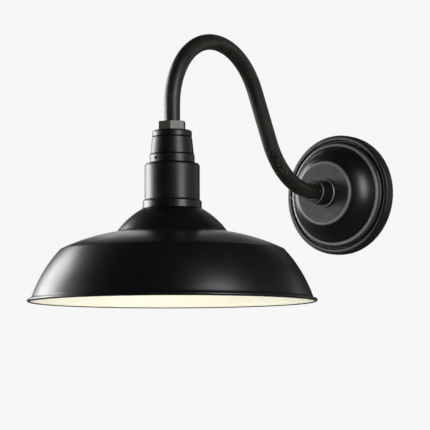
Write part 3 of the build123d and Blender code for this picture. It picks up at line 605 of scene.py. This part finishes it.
def turned(name, outline, sides, y):
    """Turn a closed outline of radii and heights about an upright axis: a circle, drawn on from
    point to point."""
    bpy.ops.object.select_all(action="DESELECT")
    bpy.ops.mesh.primitive_circle_add(
        vertices=sides, radius=outline[0].x, location=(0, y, outline[0].y)
    )
    piece = bpy.context.object
    piece.name = name
    bpy.ops.object.mode_set(mode="EDIT")
    bpy.ops.mesh.select_all(action="SELECT")
    for here, there in zip(outline, outline[1:] + outline[:1]):
        rise = (0, 0, there.y - here.y)
        bpy.ops.mesh.extrude_edges_move(TRANSFORM_OT_translate={"value": rise})
        wider = there.x / here.x
        bpy.ops.transform.resize(value=(wider, wider, 1), center_override=(0, y, there.y))
    bpy.ops.mesh.select_all(action="SELECT")
    bpy.ops.mesh.remove_doubles(threshold=0.00001)
    bpy.ops.mesh.normals_make_consistent(inside=False)
    bpy.ops.object.mode_set(mode="OBJECT")
    bpy.ops.object.transform_apply(location=True, rotation=True, scale=True)
    return piece


flange = [Vector((shade_hole_r, 0)), Vector((flange_r, 0))]
shoulder = arc(Vector((collar_r - collar_round, -collar_round)), collar_round, 90, 0, 8)
collar = [Vector((collar_r, height)) for height in collar_heights]
collar_flare = bowed(collar[-1], collar_foot, collar_bow, 4)
upper_dome = bowed(collar_foot, dome_foot, dome_bow, 14)
brim = bowed(dome_foot, brim_edge, brim_bow, 16)
skirt = bowed(brim_edge, skirt_foot, skirt_bow, 16)
flare_corner = skirt_foot + flare_way * flare_length
flare = bent(skirt_foot, flare_corner, flare_end, (0.2, 0.4, 0.6, 0.8))
outside = flange + shoulder + collar + collar_flare[1:]
outside = eased(outside, upper_dome, dome_ease, 3)
outside = eased(outside, brim, brim_ease)
outside = eased(outside, skirt, skirt_ease) + flare
inside = []
for place, point in enumerate(outside):
    way = outside[min(place + 1, len(outside) - 1)] - outside[max(place - 1, 0)]
    inside.append(point + Vector((way.y, -way.x)).normalized() * sheet)
inside[0] = outside[0] - Vector((0, sheet))
rim_roll = arc(rim_centre, bead_r, bead_start, bead_end, bead_steps)
outline = outside + rim_roll + inside[::-1]
outline = [point + Vector((0, shade_top)) for point in outline]
shade = turned("shade_spun", outline, shade_sides, shade_y)
shade.data.materials.append(coat("shade_coat", 0.33, 0.05))

white_enamel, tree, shader, cloudy = mottled(
    "white_enamel", (0.84, 0.808, 0.665), (0.88, 0.848, 0.715), 0.04, 0.002, 0.3, 0.38
)
relief(tree, shader, cloudy["Grain"], 0.00001)
shade.data.materials.append(white_enamel)
white_from = len(outside) + len(rim_roll) * 7 // 8       # the white wraps a little round the bead
for face in shade.data.polygons:
    face.material_index = int(face.index >= white_from * shade_sides)
bpy.ops.object.shade_smooth_by_angle(angle=radians(40))
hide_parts("shade")
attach(shade, "fixture")

# ------------------------------------------------------------------ wiring
# Solid copper leads in PVC insulation, black for the line, white for the neutral and green for the
# ground, glossy and slightly streaked by the extruder, with moulded caps twisted on their ends.
for name, dark, light, node in (
    ("black_insulation", (0.012, 0.012, 0.012), (0.022, 0.022, 0.022), "line_lead"),
    ("white_insulation", (0.72, 0.71, 0.66), (0.8, 0.79, 0.75), "neutral_lead"),
    ("green_insulation", (0.02, 0.2, 0.06), (0.035, 0.27, 0.09), "ground_lead"),
    ("orange_plastic", (0.6, 0.16, 0.015), (0.72, 0.23, 0.03), "wire_connectors"),
):
    plastic, tree, shader, cloudy = mottled(name, dark, light, 0.012, 0.0007, 0.3, 0.42)
    relief(tree, shader, cloudy["Grain"], 0.00001)
    dress(plastic, node)

# ------------------------------------------------------------------ lamp: base and its foot
# A drawn aluminium screw base with a rolled thread, a black glass insulator and a drop of solder
# as its foot contact. The base is cemented to the bulb and screws into the lampholder.
aluminium, tree, shader = new_material("drawn_aluminium")
shader.inputs["Metallic"].default_value = 1
cloudy = lay(tree, clouds, Patch_Size=0.006, Grain_Size=0.0006)
lamp_axis = axis_point(tree, (0, shade_y, 0))
rings = lay(tree, turned_rings, Point=lamp_axis, Ring_Width=0.0007)["Rings"]
drawn = tint(tree, cloudy["Patches"], (0.7, 0.7, 0.69), (0.8, 0.8, 0.79))
tree.links.new(drawn, shader.inputs["Base Color"])
tree.links.new(between(tree, rings, 0.25, 0.4), shader.inputs["Roughness"])
relief(tree, shader, rings, 0.00002)
dress(aluminium, "bulb_base")

thread_pitch = 3.629 * mm
thread_turns = 4
thread_steps = 64
thread_r = 12.75 * mm
thread_bulge = 0.58 * mm
thread_sides = 12
thread_rise = 1.6 * mm                           # from the base's lower end to the thread's start
base_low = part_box("bulb_base")[0]
thread_start = (0, shade_y, base_low[2] + thread_rise)
bpy.ops.object.select_all(action="DESELECT")
bpy.ops.mesh.primitive_circle_add(
    vertices=thread_sides, radius=thread_bulge, location=thread_start
)
thread = bpy.context.object
thread.name = "bulb_thread"
bpy.ops.object.mode_set(mode="EDIT")
bpy.ops.mesh.select_all(action="SELECT")
bpy.ops.transform.rotate(value=radians(90), orient_axis="X", center_override=thread_start)
bpy.ops.transform.translate(value=(thread_r, 0, 0))
bpy.ops.object.mode_set(mode="OBJECT")
winding = thread.modifiers.new("winding", "SCREW")
winding.screw_offset = thread_pitch
winding.iterations = thread_turns
winding.steps = thread_steps
winding.render_steps = thread_steps
bpy.ops.object.modifier_apply(modifier=winding.name)
bpy.ops.object.mode_set(mode="EDIT")
bpy.ops.mesh.select_all(action="SELECT")
bpy.ops.mesh.fill_holes(sides=0)
bpy.ops.mesh.select_all(action="SELECT")
bpy.ops.mesh.normals_make_consistent(inside=False)
bpy.ops.object.mode_set(mode="OBJECT")
bpy.ops.object.transform_apply(location=True, rotation=True, scale=True)
bpy.ops.object.shade_smooth_by_angle(angle=radians(50))
thread.data.materials.append(aluminium)
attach(thread, "bulb")

black_glass, tree, shader = new_material("insulator_glass")
cloudy = lay(tree, clouds, Patch_Size=0.005, Grain_Size=0.0006)
pressed = tint(tree, cloudy["Patches"], (0.008, 0.008, 0.012), (0.02, 0.02, 0.028))
tree.links.new(pressed, shader.inputs["Base Color"])
shader.inputs["Roughness"].default_value = 0.12
relief(tree, shader, cloudy["Patches"], 0.00005)
dress(black_glass, "bulb_insulator")

solder, tree, shader, cloudy = mottled(
    "solder", (0.5, 0.5, 0.52), (0.68, 0.68, 0.68), 0.002, 0.0005, 0.3, 0.55
)
shader.inputs["Metallic"].default_value = 1
relief(tree, shader, cloudy["Patches"], 0.0001)
dress(solder, "bulb_contact")

# ------------------------------------------------------------------ lamp: glass, stem and filament
# A blown bulb with a soft white powder inside, a clear pressed stem fused into its neck, and a
# tungsten filament on two wires.
soft_white, tree, shader, cloudy = mottled(
    "soft_white_glass", (0.86, 0.85, 0.81), (0.91, 0.9, 0.87), 0.02, 0.0009, 0.16, 0.24
)
shader.inputs["Subsurface Weight"].default_value = 0.3
shader.inputs["Subsurface Radius"].default_value = (0.004, 0.004, 0.004)
relief(tree, shader, cloudy["Patches"], 0.00005)
dress(soft_white, "bulb_glass")

stem_glass, tree, shader = new_material("stem_glass")
cloudy = lay(tree, clouds, Patch_Size=0.004, Grain_Size=0.0008)
clear_glass = tint(tree, cloudy["Patches"], (0.86, 0.9, 0.88), (0.95, 0.97, 0.96))
tree.links.new(clear_glass, shader.inputs["Base Color"])
shader.inputs["Roughness"].default_value = 0.05
shader.inputs["Transmission Weight"].default_value = 0.9
relief(tree, shader, cloudy["Patches"], 0.00005)
dress(stem_glass, "bulb_stem")

tungsten, tree, shader, cloudy = mottled(
    "tungsten", (0.25, 0.25, 0.26), (0.4, 0.4, 0.4), 0.002, 0.0003, 0.35, 0.5
)
shader.inputs["Metallic"].default_value = 1
dress(tungsten, "bulb_filament")
